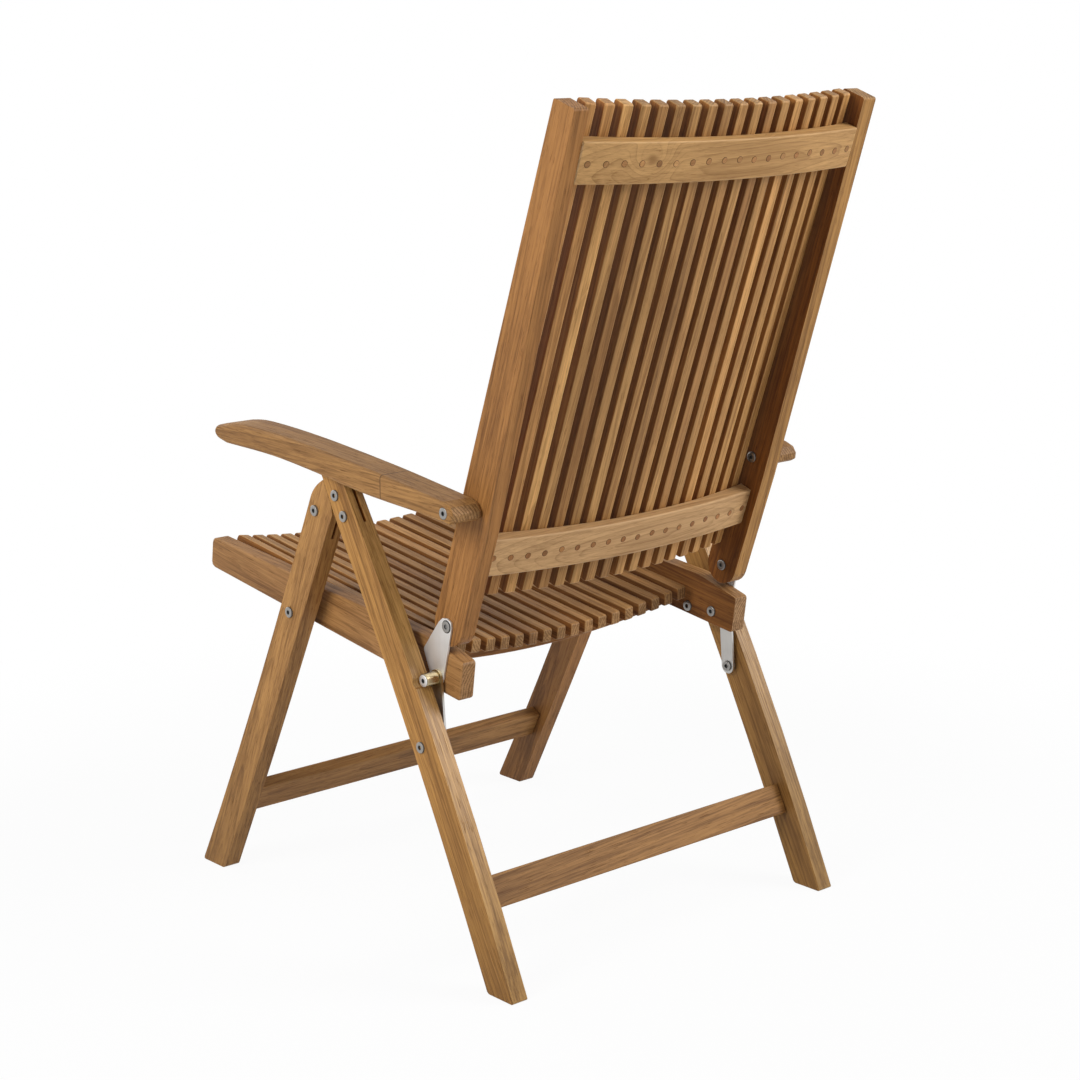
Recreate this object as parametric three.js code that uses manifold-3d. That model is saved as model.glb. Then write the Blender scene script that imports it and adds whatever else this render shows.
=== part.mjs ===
// Folding teak armchair with a slatted back and seat.
// Millimetres, Z up, X to the sitter's left, Y to the rear. Z is zero on the floor.
// Points of the side view are [y, z]. The seat and the back each have a turned frame of their own.

import * as THREE from 'three';
import { mergeVertices } from 'three/addons/utils/BufferGeometryUtils.js';
import Module from 'manifold-3d';

// Clearances
const touch = 0.3;
const runningGap = 0.3;
const cutOverrun = 5;

// Layers across the chair, from the middle outwards
const insideHalf = 231.6;
const sidePieceThickness = 22.6;
const plateThickness = 3;
const legClearOfSide = 12.8;
const legThickness = 24;
const armWidth = 49;

// Pivots in the side view
const seatPivot = [-143.7, 410.8];
const legHinge = [-80, 558.6];
const backPivot = [144.8, 441.4];
const lockPin = [126, 372];
const strapFoot = [132.4, 289.2];
const armPivotUpStile = 167.4;
const armPivotSetback = -2;

// Front legs
const frontFoot = [-377.6, -324];
const frontLegTop = [-61, 601.5];
const frontShoulder = [-91, 571];
const frontShoulderCorner = [-84, 590];
const frontLegMitreRadius = 36.8;
const mitreFoot = [-40.7, 562.7];
const frontEdgeBow = 6;
const frontLegRearBow = 3;

// Rear legs
const rearFoot = [256.8, 305.9];
const rearLegTopFront = 617;
const rearLegTopRear = [-21, 611.5];
const rearLegShoulder = [-14.9, 599.6];
const rearLegFrontBow = 7.5;
const rearLegRearBow = 12.5;
const mitreGap = 0.6;

// Hinge plate inside the leg tops, with its two fixing bolts
const plateBolts = [[-35.2, 585.1], [-18, 560.5]];
const plateMargin = 10;
const plateCorner = 7;
const slotWidth = 4.2;
const frontSlotBack = 15;
const frontSlotDrop = 19;
const frontSlotFoot = [-58, 519];
const rearSlotFoot = [[-60, 545], [-8, 546], [22, 563]];
const slotTop = 640;

// Stretchers between the legs
const frontStretcherCentre = [-294.6, 109.3];
const rearStretcherCentre = [223.7, 113.5];
const stretcherHeight = 42;
const stretcherThickness = 20;
const stretcherLeanDegrees = 27.5;
const tenonLength = 16;
const tenonHeight = 30;
const tenonThickness = 10;

// Bolts, pins and the lock pin's tube
const boltRadius = 4;
const lowHead = 1.2;
const railBolt = [226.4, -8.4];
const washerRadius = 8;
const headRadius = 7.25;
const headHeight = 2.7;
const seatBoltRadius = 4.5;
const spacerRadius = 9;
const pinRadius = 5;
const tubeRadius = 9;
const tubeInLeg = 13;
const strapRadius = 11;

// Seat, in its own frame: y along the rail to the rear, z square to it, from the seat pivot
const seatSlopeDegrees = 8.01;
const seatRailFront = -242;
const seatRailRear = 314;
const seatRailBottom = -19;
const seatRailTopFront = 24.5;
const seatRailTopRear = [239, 43.2];
const seatRailEndTop = 31.9;
const seatRailCorner = 8;
const seatRailEndCorner = 4;
const seatBearerSag = 20;
const bearerThickness = 27.5;
const bearerWidth = 45;
const bearerStarts = [-200, 139];
const bearerNames = ['seat_bearer_front', 'seat_bearer_rear'];
const seatSlatFront = -234.8;
const seatSlatRear = 231.6;
const bearerTenon = [12, 30, 12];

// Slats of the seat and of the back
const slatCount = 18;
const seatSlatInset = 19.1;
const backSlatInset = 15.36;
const slatWidth = 14.7;
const seatSlatDepth = 19;
const backSlatDepth = 20;
const slatNose = 7;
const slatEndCorner = 3;

// Back, in its own frame: z up the stile, y square to it to the rear, from the back pivot
const backLeanDegrees = 19.43;
const stileFront = -27;
const stileRear = 25.5;
const stileTaperStart = 150;
const stileTop = 678;
const stileTopRear = 9.5;
const stileCorner = 4;
const backRailStarts = [73, 588.5];
const backRailNames = ['back_rail_low', 'back_rail_top'];
const backRailHeight = 52;
const backRailFrontAtStile = -7.5;
const backRailFrontSag = 22.5;
const backRailRearAtStile = 13;
const backRailRearSag = 16;
const backSlatBottom = 32.5;
const backSlatTop = 679;
const backTenon = [12, 9, 36];

// Bracket between the seat rail and the stile
const bracketEye = 10.5;
const bracketFoot = 9.5;
const bracketNose = [-41, -43];
const bracketCorner = 9;
const bracketNoseCorner = 3;

// Armrest, from its pivot: the underside from the rear, then the top from the front
const armUnderside = [[-24, -9], [-156, -0.5], [-266, 12.6], [-359, 21], [-461, 23.8]];
const armTop = [[-462, 51], [-416, 54.3], [-304, 48], [-146, 32], [-4, 13.4]];
const armTip = [[-499, 25], [-503, 49]];
const armEnd = [[8, -12.6], [20, -13], [20.5, 10.5]];
const armEdge = 4;
const armGrooveEnds = [-366, -190];
const armGrooveRoof = [[-366, 31], [-190, 13]];
const armGrooveWidth = 25.4;
const counterbore = [7.7, 2.4];

// Steps in curves and sides of round pieces
const roundSides = 12;
const cornerSteps = 2;
const bowSteps = 6;
const railSteps = 10;

const sideOuter = insideHalf + sidePieceThickness;
const legInnerFace = sideOuter + legClearOfSide;
const bracketInner = sideOuter + touch;
const strapInner = bracketInner + plateThickness + touch;
const strapOuter = strapInner + plateThickness;
const legOuterFace = legInnerFace + legThickness;
const armInner = sideOuter + touch;
const armOuter = armInner + armWidth;
const plateInner = legInnerFace + (legThickness - plateThickness) / 2;
const slotInner = legInnerFace + (legThickness - slotWidth) / 2;
const tubeEnd = legInnerFace + tubeInLeg;
const seatSlatPitch = 2 * (insideHalf - seatSlatInset) / (slatCount - 1);
const backSlatPitch = 2 * (insideHalf - backSlatInset) / (slatCount - 1);

const wasm = await Module();
wasm.setup();

const sides = [['left', 1], ['right', -1]];
const radians = THREE.MathUtils.degToRad;

// A closed solid from a geometry, and back
function toSolid(geometry) {
  const plain = geometry.clone();
  plain.deleteAttribute('normal');
  plain.deleteAttribute('uv');
  const merged = mergeVertices(plain);
  return new wasm.Manifold(new wasm.Mesh({
    numProp: 3,
    vertProperties: merged.attributes.position.array,
    triVerts: Uint32Array.from(merged.index.array),
  }));
}

function toGeometry(solid) {
  const mesh = solid.getMesh();
  const geometry = new THREE.BufferGeometry();
  geometry.setAttribute('position', new THREE.BufferAttribute(mesh.vertProperties, 3));
  geometry.setIndex(new THREE.BufferAttribute(mesh.triVerts, 1));
  return geometry;
}

// One body from a first geometry, with others joined to it and others cut from it
function worked(geometry, joined, cuts) {
  let solid = toSolid(geometry);
  for (const tool of cuts) {
    solid = solid.subtract(toSolid(tool));
  }
  for (const piece of joined) {
    solid = solid.add(toSolid(piece));
  }
  return toGeometry(solid);
}

function unit(from, to) {
  const length = Math.hypot(to[0] - from[0], to[1] - from[1]);
  return [(to[0] - from[0]) / length, (to[1] - from[1]) / length];
}

function along(point, direction, distance) {
  return [point[0] + direction[0] * distance, point[1] + direction[1] * distance];
}

// A point of the side view in a frame that stands at origin and is turned about X
function inFrame(origin, degrees, point) {
  const cos = Math.cos(radians(degrees));
  const sin = Math.sin(radians(degrees));
  const dy = point[0] - origin[0];
  const dz = point[1] - origin[1];
  return [dy * cos + dz * sin, dz * cos - dy * sin];
}

// An outline through corners [y, z, radius]
function roundedOutline(corners) {
  const shape = new THREE.Shape();
  corners.forEach((corner, index) => {
    const before = corners[(index + corners.length - 1) % corners.length];
    const after = corners[(index + 1) % corners.length];
    const radius = corner[2] || 0;
    const start = along(corner, unit(corner, before), radius);
    const end = along(corner, unit(corner, after), radius);
    if (index === 0) {
      shape.moveTo(start[0], start[1]);
    } else {
      shape.lineTo(start[0], start[1]);
    }
    if (radius > 0) {
      shape.quadraticCurveTo(corner[0], corner[1], end[0], end[1]);
    }
  });
  shape.closePath();
  return shape;
}

// A slightly bowed edge, whose middle lies off the chord to its right
function bowTo(shape, from, to, bow) {
  const direction = unit(from, to);
  const middle = [(from[0] + to[0]) / 2, (from[1] + to[1]) / 2];
  const control = along(middle, [direction[1], -direction[0]], 2 * bow);
  shape.quadraticCurveTo(control[0], control[1], to[0], to[1]);
}

// The side view's outline as a board across X, on one side of the chair or across its middle
const sideBasis = new THREE.Matrix4().makeBasis(
  new THREE.Vector3(0, 1, 0), new THREE.Vector3(0, 0, 1), new THREE.Vector3(1, 0, 0));

function board(shape, xLow, thickness, steps) {
  const options = { depth: thickness, bevelEnabled: false, curveSegments: steps };
  return new THREE.ExtrudeGeometry(shape, options).applyMatrix4(sideBasis).translate(xLow, 0, 0);
}

function sideBoard(shape, side, inner, thickness, steps) {
  return board(shape, side > 0 ? inner : -inner - thickness, thickness, steps);
}

// A round pin across X between two distances from the middle
function crossPin(side, point, radius, inner, outer) {
  const middle = side * (inner + outer) / 2;
  return new THREE.CylinderGeometry(radius, radius, outer - inner, roundSides)
    .rotateZ(Math.PI / 2).translate(middle, point[0], point[1]);
}

function addMesh(group, name, geometry, material) {
  const mesh = new THREE.Mesh(geometry, material);
  mesh.name = name;
  group.add(mesh);
  return mesh;
}

function teak(colour) {
  return new THREE.MeshStandardMaterial({ color: colour, roughness: 0.6, metalness: 0 });
}

function steel() {
  return new THREE.MeshStandardMaterial({ color: 0xb9b8b4, roughness: 0.32, metalness: 0.95 });
}

// Line of the mitre between the two leg tops
const mitreUp = unit(mitreFoot, frontLegTop);
const mitreRear = [mitreUp[1], -mitreUp[0]];
const rearMitreFoot = along(mitreFoot, mitreRear, mitreGap);
const mitreRise = (rearLegTopFront - rearMitreFoot[1]) / mitreUp[1];
const rearLegPeak = along(rearMitreFoot, mitreUp, mitreRise);

function stretcherBar(centre, lean, xHalf, height, thickness) {
  return new THREE.BoxGeometry(2 * xHalf, thickness, height)
    .rotateX(radians(lean)).translate(0, centre[0], centre[1]);
}

function stretcherMortise(side, centre, lean) {
  const depth = tenonLength + touch;
  return new THREE.BoxGeometry(depth + cutOverrun, tenonThickness + 2 * touch, tenonHeight + 2 * touch)
    .rotateX(radians(lean))
    .translate(side * (legInnerFace + (depth - cutOverrun) / 2), centre[0], centre[1]);
}

// Front leg: bowed, with a round shoulder, a mitred top, a slot for the hinge plate and its bolt hole
function frontLeg(side) {
  const meetsRearEdge = [frontFoot[1], 0];
  const roundStart = [legHinge[0] + frontLegMitreRadius, legHinge[1]];
  const mitreAngle = Math.atan2(mitreRear[1], mitreRear[0]);
  const shape = new THREE.Shape();
  shape.moveTo(frontFoot[0], 0);
  shape.lineTo(meetsRearEdge[0], meetsRearEdge[1]);
  bowTo(shape, meetsRearEdge, roundStart, frontLegRearBow);
  shape.absarc(legHinge[0], legHinge[1], frontLegMitreRadius, 0, mitreAngle, false);
  shape.lineTo(frontLegTop[0], frontLegTop[1]);
  shape.quadraticCurveTo(
    frontShoulderCorner[0], frontShoulderCorner[1], frontShoulder[0], frontShoulder[1]);
  bowTo(shape, frontShoulder, [frontFoot[0], 0], -frontEdgeBow);
  const slot = roundedOutline([
    [legHinge[0] - frontSlotBack, slotTop],
    [legHinge[0] - frontSlotBack, legHinge[1] - frontSlotBack, plateCorner],
    [legHinge[0], legHinge[1] - frontSlotDrop, plateCorner], frontSlotFoot,
    [rearLegShoulder[0] + frontSlotBack, frontSlotFoot[1]],
    [rearLegShoulder[0] + frontSlotBack, slotTop]]);
  const drill = [legInnerFace - cutOverrun, legOuterFace + cutOverrun];
  return worked(sideBoard(shape, side, legInnerFace, legThickness, bowSteps), [], [
    sideBoard(slot, side, slotInner, slotWidth, cornerSteps),
    crossPin(side, legHinge, boltRadius + runningGap, ...drill),
    crossPin(side, seatPivot, seatBoltRadius + runningGap, ...drill),
    stretcherMortise(side, frontStretcherCentre, -stretcherLeanDegrees)]);
}

// Hinge plate, held in the rear leg by two bolts, with the front leg's pivot bolt through its nose
function hingePlate(side) {
  const [upper, lower] = plateBolts;
  const shape = roundedOutline([
    [legHinge[0] - plateMargin, legHinge[1] - plateMargin, plateCorner],
    [lower[0], lower[1] - plateMargin, plateCorner],
    [lower[0] + plateMargin, lower[1], plateCorner],
    [upper[0] + plateMargin, upper[1] + plateMargin, plateCorner],
    [upper[0] - plateMargin, upper[1] + plateMargin, plateCorner],
    [legHinge[0] - plateMargin, legHinge[1] + plateMargin, plateCorner]]);
  const pieces = [
    crossPin(side, legHinge, boltRadius, legInnerFace - headHeight, legOuterFace + headHeight),
    crossPin(side, legHinge, headRadius, legInnerFace - runningGap - headHeight, legInnerFace - runningGap),
    crossPin(side, legHinge, headRadius, legOuterFace + runningGap, legOuterFace + runningGap + headHeight)];
  for (const bolt of plateBolts) {
    pieces.push(crossPin(side, bolt, boltRadius, legInnerFace, legOuterFace));
    pieces.push(crossPin(side, bolt, headRadius, legOuterFace - touch, legOuterFace + headHeight));
    pieces.push(crossPin(side, bolt, headRadius, legInnerFace - headHeight, legInnerFace + touch));
  }
  return worked(sideBoard(shape, side, plateInner, plateThickness, cornerSteps), pieces, []);
}

// Rear leg: bowed, mitred against the front leg, slotted for its hinge plate, notched for the lock pin
function rearLeg(side) {
  const shape = new THREE.Shape();
  shape.moveTo(rearFoot[0], 0);
  shape.lineTo(rearFoot[1], 0);
  bowTo(shape, [rearFoot[1], 0], rearLegShoulder, rearLegRearBow);
  shape.lineTo(rearLegTopRear[0], rearLegTopRear[1]);
  shape.lineTo(rearLegPeak[0], rearLegPeak[1]);
  shape.lineTo(rearMitreFoot[0], rearMitreFoot[1]);
  bowTo(shape, rearMitreFoot, [rearFoot[0], 0], -rearLegFrontBow);
  const slot = roundedOutline([
    [legHinge[0], slotTop], [legHinge[0], rearSlotFoot[0][1]], ...rearSlotFoot,
    [rearSlotFoot[2][0], slotTop]]);
  const strapHead = strapInner - runningGap;
  const strapBolt = [
    crossPin(side, strapFoot, headRadius, legOuterFace - touch, legOuterFace + headHeight),
    crossPin(side, strapFoot, washerRadius, strapOuter + runningGap, legInnerFace + touch),
    crossPin(side, strapFoot, boltRadius, strapHead - headHeight, legInnerFace),
    crossPin(side, strapFoot, headRadius, strapHead - headHeight, strapHead)];
  const plank = sideBoard(shape, side, legInnerFace, legThickness, bowSteps);
  return worked(plank, [hingePlate(side), ...strapBolt], [
    sideBoard(slot, side, slotInner, slotWidth, cornerSteps),
    crossPin(side, lockPin, tubeRadius + runningGap, legInnerFace - cutOverrun, legOuterFace + cutOverrun),
    stretcherMortise(side, rearStretcherCentre, stretcherLeanDegrees)]);
}

// Stretcher with a tenon at each end
function stretcher(centre, lean) {
  const bar = stretcherBar(centre, lean, legInnerFace - touch, stretcherHeight, stretcherThickness);
  const tenons = stretcherBar(centre, lean, legInnerFace + tenonLength, tenonHeight, tenonThickness);
  return worked(bar, [tenons], []);
}

// Outline of a curved cross rail between two arcs, each given by its centre and radius
function curvedRail(inner, outer, half, downwards) {
  const shape = new THREE.Shape();
  const middle = (downwards ? -1 : 1) * Math.PI / 2;
  const outerHalf = Math.asin(half / outer.radius);
  const innerHalf = Math.asin(half / inner.radius);
  shape.absarc(0, outer.centre, outer.radius, middle - outerHalf, middle + outerHalf, false);
  shape.absarc(0, inner.centre, inner.radius, middle + innerHalf, middle - innerHalf, true);
  shape.closePath();
  return shape;
}

function arcRadius(half, sag) {
  return (half * half + sag * sag) / (2 * sag);
}

// Seat: its arcs' centre lies above it
const seatArc = arcRadius(insideHalf, seatBearerSag);
const bearerTopAtRail = seatRailBottom + bearerThickness;
const seatArcCentre = bearerTopAtRail - seatBearerSag + seatArc;
const bearerTop = { centre: seatArcCentre, radius: seatArc };
const bearerUnderside = { centre: seatArcCentre, radius: seatArc + bearerThickness };

function bearerTenonBox(side, start, gap) {
  const [length, wide, high] = bearerTenon;
  const full = length + gap + cutOverrun;
  return new THREE.BoxGeometry(full, wide + 2 * gap, high + 2 * gap)
    .translate(side * (insideHalf + length + gap - full / 2), start + bearerWidth / 2,
      seatRailBottom + bearerThickness / 2);
}

// Curved bearer under the seat slats
function seatBearer(start) {
  const shape = curvedRail(bearerTop, bearerUnderside, insideHalf - touch, true);
  const options = { depth: bearerWidth, bevelEnabled: false, curveSegments: railSteps };
  const bar = new THREE.ExtrudeGeometry(shape, options).rotateX(Math.PI / 2)
    .translate(0, start + bearerWidth, 0);
  return worked(bar, [bearerTenonBox(1, start, 0), bearerTenonBox(-1, start, 0)], []);
}

// Seat rail, with the bolt that it turns on in the front leg
function seatRail(side) {
  const shape = roundedOutline([
    [seatRailFront, seatRailBottom, seatRailCorner], [seatRailRear, seatRailBottom, seatRailEndCorner],
    [seatRailRear, seatRailEndTop, seatRailEndCorner], [...seatRailTopRear, seatRailCorner],
    [seatRailFront, seatRailTopFront, seatRailCorner]]);
  const pin = inFrame(seatPivot, -seatSlopeDegrees, lockPin);
  const pivot = [0, 0];
  const headEnd = legOuterFace + runningGap + headHeight;
  return worked(sideBoard(shape, side, insideHalf, sidePieceThickness, cornerSteps), [
    crossPin(side, pivot, spacerRadius, sideOuter - touch, legInnerFace - touch),
    crossPin(side, pivot, seatBoltRadius, insideHalf, headEnd),
    crossPin(side, pivot, headRadius, legOuterFace + runningGap, headEnd),
    crossPin(side, railBolt, headRadius, insideHalf - headHeight, insideHalf + touch),
    crossPin(side, pivot, headRadius, insideHalf - headHeight, insideHalf + touch)], [
    bearerTenonBox(side, bearerStarts[0], touch),
    bearerTenonBox(side, bearerStarts[1], touch),
    crossPin(side, pin, boltRadius + touch, insideHalf - cutOverrun, sideOuter + cutOverrun)]);
}

function slatTurn(index, pitch, radius) {
  const across = pitch * (index - (slatCount - 1) / 2);
  return Math.asin(across / radius);
}

function slatName(kind, index) {
  return `${kind}_slat_${String(index + 1).padStart(2, '0')}`;
}

// Slats of the seat lie on the bearers, square to their curve
function addSeatSlats(seat) {
  const underside = touch - seatArc;
  const outline = roundedOutline([
    [seatSlatFront, underside, slatEndCorner], [seatSlatRear, underside, slatEndCorner],
    [seatSlatRear, underside + seatSlatDepth, slatEndCorner],
    [seatSlatFront, underside + seatSlatDepth, slatNose]]);
  for (let index = 0; index < slatCount; index += 1) {
    const slat = board(outline, -slatWidth / 2, slatWidth, cornerSteps);
    const colour = index % 3 === 1 ? 0xa27c52 : 0xad865a;
    const mesh = addMesh(seat, slatName('seat', index), slat, teak(colour));
    mesh.position.z = seatArcCentre;
    mesh.rotation.y = -slatTurn(index, seatSlatPitch, seatArc);
  }
}

// Bracket: a plate on the rail, with a bolt through the rail and an eye for the stile's bolt
function bracket(side) {
  const eye = inFrame(seatPivot, -seatSlopeDegrees, backPivot);
  const foot = inFrame(seatPivot, -seatSlopeDegrees, lockPin);
  const nose = [eye[0] + bracketNose[0], eye[1] + bracketNose[1]];
  const shape = roundedOutline([
    [nose[0], nose[1], bracketNoseCorner],
    [foot[0] - bracketFoot, foot[1] - bracketFoot, bracketCorner],
    [foot[0] + bracketFoot, foot[1] - bracketFoot, bracketCorner],
    [eye[0] + bracketEye, eye[1] + bracketEye, bracketEye],
    [eye[0] - bracketEye, eye[1] + bracketEye, bracketEye]]);
  const plateOuter = bracketInner + plateThickness;
  return worked(sideBoard(shape, side, bracketInner, plateThickness, cornerSteps), [
    crossPin(side, foot, boltRadius, insideHalf - touch - headHeight, plateOuter),
    crossPin(side, foot, headRadius, insideHalf - touch - headHeight, insideHalf - touch)], [
    crossPin(side, eye, boltRadius + runningGap, bracketInner - cutOverrun, plateOuter + cutOverrun)]);
}

// Strap that turns on the rear leg's bolt; its upper end carries the lock pin's tube
function strap(side) {
  const reach = Math.hypot(strapFoot[0] - lockPin[0], strapFoot[1] - lockPin[1]);
  const shape = new THREE.Shape();
  shape.absarc(0, reach, strapRadius, 0, Math.PI, false);
  shape.absarc(0, 0, strapRadius, Math.PI, 2 * Math.PI, false);
  shape.closePath();
  const pin = [0, reach];
  return worked(sideBoard(shape, side, strapInner, plateThickness, bowSteps), [
    crossPin(side, pin, pinRadius, strapInner, tubeEnd),
    crossPin(side, pin, tubeRadius, strapOuter + runningGap, tubeEnd),
    crossPin(side, pin, headRadius, tubeEnd - touch, tubeEnd + lowHead)], [
    crossPin(side, [0, 0], boltRadius + runningGap, strapInner - cutOverrun, strapOuter + cutOverrun)]);
}

// Back: its arcs' centres lie in front of it
const backArc = arcRadius(insideHalf, backRailFrontSag);
const backArcCentre = backRailFrontAtStile + backRailFrontSag - backArc;
const backRearArc = arcRadius(insideHalf, backRailRearSag);
const backRailFront = { centre: backArcCentre, radius: backArc };
const backRailRear = { centre: backRailRearAtStile + backRailRearSag - backRearArc, radius: backRearArc };

function backTenonBox(side, start, gap) {
  const [length, deep, high] = backTenon;
  const full = length + gap + cutOverrun;
  return new THREE.BoxGeometry(full, deep + 2 * gap, high + 2 * gap)
    .translate(side * (insideHalf + length + gap - full / 2),
      (backRailFrontAtStile + backRailRearAtStile) / 2, start + backRailHeight / 2);
}

// Curved rail behind the back slats
function backRail(start) {
  const shape = curvedRail(backRailFront, backRailRear, insideHalf - touch, false);
  const options = { depth: backRailHeight, bevelEnabled: false, curveSegments: railSteps };
  const bar = new THREE.ExtrudeGeometry(shape, options).translate(0, 0, start);
  return worked(bar, [backTenonBox(1, start, 0), backTenonBox(-1, start, 0)], []);
}

// Stile: straight front edge, tapered behind, round at the foot about the back pivot
function stile(side) {
  const footCentre = (stileFront + stileRear) / 2;
  const shape = new THREE.Shape();
  shape.absarc(footCentre, 0, (stileRear - stileFront) / 2, Math.PI, 2 * Math.PI, false);
  shape.lineTo(stileRear, stileTaperStart);
  shape.lineTo(stileTopRear, stileTop - stileCorner);
  shape.quadraticCurveTo(stileTopRear, stileTop, stileTopRear - stileCorner, stileTop);
  shape.lineTo(stileFront + stileCorner, stileTop);
  shape.quadraticCurveTo(stileFront, stileTop, stileFront, stileTop - stileCorner);
  shape.closePath();
  const armPoint = [armPivotSetback, armPivotUpStile];
  const drill = boltRadius + runningGap;
  return worked(sideBoard(shape, side, insideHalf, sidePieceThickness, bowSteps), [], [
    crossPin(side, [0, 0], drill, insideHalf - cutOverrun, sideOuter + cutOverrun),
    crossPin(side, armPoint, drill, insideHalf - cutOverrun, sideOuter + cutOverrun),
    backTenonBox(side, backRailStarts[0], touch),
    backTenonBox(side, backRailStarts[1], touch)]);
}

// Slats of the back stand in front of the rails, square to their curve
function addBackSlats(back) {
  const outline = roundedOutline([
    [backArc - touch - backSlatDepth, backSlatBottom, slatEndCorner],
    [backArc - touch, backSlatBottom, slatEndCorner],
    [backArc - touch, backSlatTop, slatEndCorner],
    [backArc - touch - backSlatDepth, backSlatTop, slatEndCorner]]);
  for (let index = 0; index < slatCount; index += 1) {
    const slat = board(outline, -slatWidth / 2, slatWidth, cornerSteps);
    const colour = index % 4 === 2 ? 0x9a6f47 : 0xae865a;
    const mesh = addMesh(back, slatName('back', index), slat, teak(colour));
    mesh.position.y = backArcCentre;
    mesh.rotation.z = -slatTurn(index, backSlatPitch, backArc);
  }
}

// Through bolt with a round head at each end
function throughBolt(side, innerEnd, outerEnd, outerHead) {
  const pivot = [0, 0];
  return worked(crossPin(side, pivot, boltRadius, innerEnd, outerEnd), [
    crossPin(side, pivot, headRadius, innerEnd, innerEnd + headHeight),
    crossPin(side, pivot, headRadius, outerEnd - outerHead, outerEnd)], []);
}

// Armrest: a bowed plank with a bullnose tip, a round rear end and a groove over the leg tops
function armrest(side) {
  const shape = new THREE.Shape();
  shape.moveTo(armEnd[0][0], armEnd[0][1]);
  shape.splineThru(armUnderside.map(([y, z]) => new THREE.Vector2(y, z)));
  shape.bezierCurveTo(armTip[0][0], armTip[0][1], armTip[1][0], armTip[1][1], armTop[0][0], armTop[0][1]);
  shape.splineThru(armTop.slice(1).map(([y, z]) => new THREE.Vector2(y, z)));
  shape.bezierCurveTo(armEnd[2][0], armEnd[2][1], armEnd[1][0], armEnd[1][1], armEnd[0][0], armEnd[0][1]);
  const options = {
    depth: armWidth - 2 * armEdge, curveSegments: cornerSteps + 2,
    bevelEnabled: true, bevelThickness: armEdge, bevelSize: armEdge, bevelOffset: -armEdge, bevelSegments: 2 };
  const xLow = side > 0 ? armInner : -armOuter;
  const plank = new THREE.ExtrudeGeometry(shape, options).applyMatrix4(sideBasis)
    .translate(xLow + armEdge, 0, 0);
  const groove = roundedOutline([
    [armGrooveEnds[0], -cutOverrun], [armGrooveEnds[1], -cutOverrun],
    armGrooveRoof[1], armGrooveRoof[0]]);
  const grooveInner = legInnerFace - (armGrooveWidth - legThickness) / 2;
  return worked(plank, [], [
    sideBoard(groove, side, grooveInner, armGrooveWidth, 1),
    crossPin(side, [0, 0], boltRadius + runningGap, armInner - cutOverrun, armOuter + cutOverrun),
    crossPin(side, [0, 0], counterbore[0], armOuter - counterbore[1], armOuter + cutOverrun)]);
}

function turnedGroup(parent, origin, degrees) {
  const group = new THREE.Group();
  group.position.set(0, origin[0], origin[1]);
  group.rotation.x = radians(degrees);
  parent.add(group);
  return group;
}

// Assembly
const chair = new THREE.Group();
const seat = turnedGroup(chair, seatPivot, -seatSlopeDegrees);
const back = turnedGroup(chair, backPivot, -backLeanDegrees);
const armPoint = inFrame([0, 0], backLeanDegrees, [armPivotSetback, armPivotUpStile]);
const armFrame = turnedGroup(chair, [backPivot[0] + armPoint[0], backPivot[1] + armPoint[1]], 0);
const strapLean = Math.atan2(strapFoot[0] - lockPin[0], lockPin[1] - strapFoot[1]);
const strapFrame = turnedGroup(chair, strapFoot, THREE.MathUtils.radToDeg(strapLean));

for (const [name, side] of sides) {
  addMesh(chair, `front_leg_${name}`, frontLeg(side), teak(0xa87f50));
  addMesh(chair, `rear_leg_${name}`, rearLeg(side), teak(0xb58a55));
  addMesh(seat, `seat_rail_${name}`, seatRail(side), teak(0xa67b4c));
  addMesh(seat, `bracket_${name}`, bracket(side), steel());
  addMesh(strapFrame, `strap_${name}`, strap(side), steel());
  addMesh(back, `back_stile_${name}`, stile(side), teak(0xa97a4b));
  const boltOuter = bracketInner + plateThickness + touch + lowHead;
  const boltInner = insideHalf - touch - headHeight;
  addMesh(back, `stile_bolt_${name}`, throughBolt(side, boltInner, boltOuter, lowHead), steel());
  const armBoltOuter = armOuter - counterbore[1] + touch + headHeight;
  addMesh(armFrame, `arm_bolt_${name}`, throughBolt(side, boltInner, armBoltOuter, headHeight), steel());
  addMesh(armFrame, `armrest_${name}`, armrest(side), teak(0xae8453));
}
addMesh(chair, 'front_stretcher', stretcher(frontStretcherCentre, -stretcherLeanDegrees), teak(0x8e6540));
addMesh(chair, 'rear_stretcher', stretcher(rearStretcherCentre, stretcherLeanDegrees), teak(0xa0764b));
bearerStarts.forEach((start, index) => {
  addMesh(seat, bearerNames[index], seatBearer(start), teak(0x9a6b3f));
});
backRailStarts.forEach((start, index) => {
  addMesh(back, backRailNames[index], backRail(start), teak(0xc39c69));
});
addSeatSlats(seat);
addBackSlats(back);

export default chair;
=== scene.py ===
import math
import random

import bmesh
import bpy
from mathutils import Matrix, Vector


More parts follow.
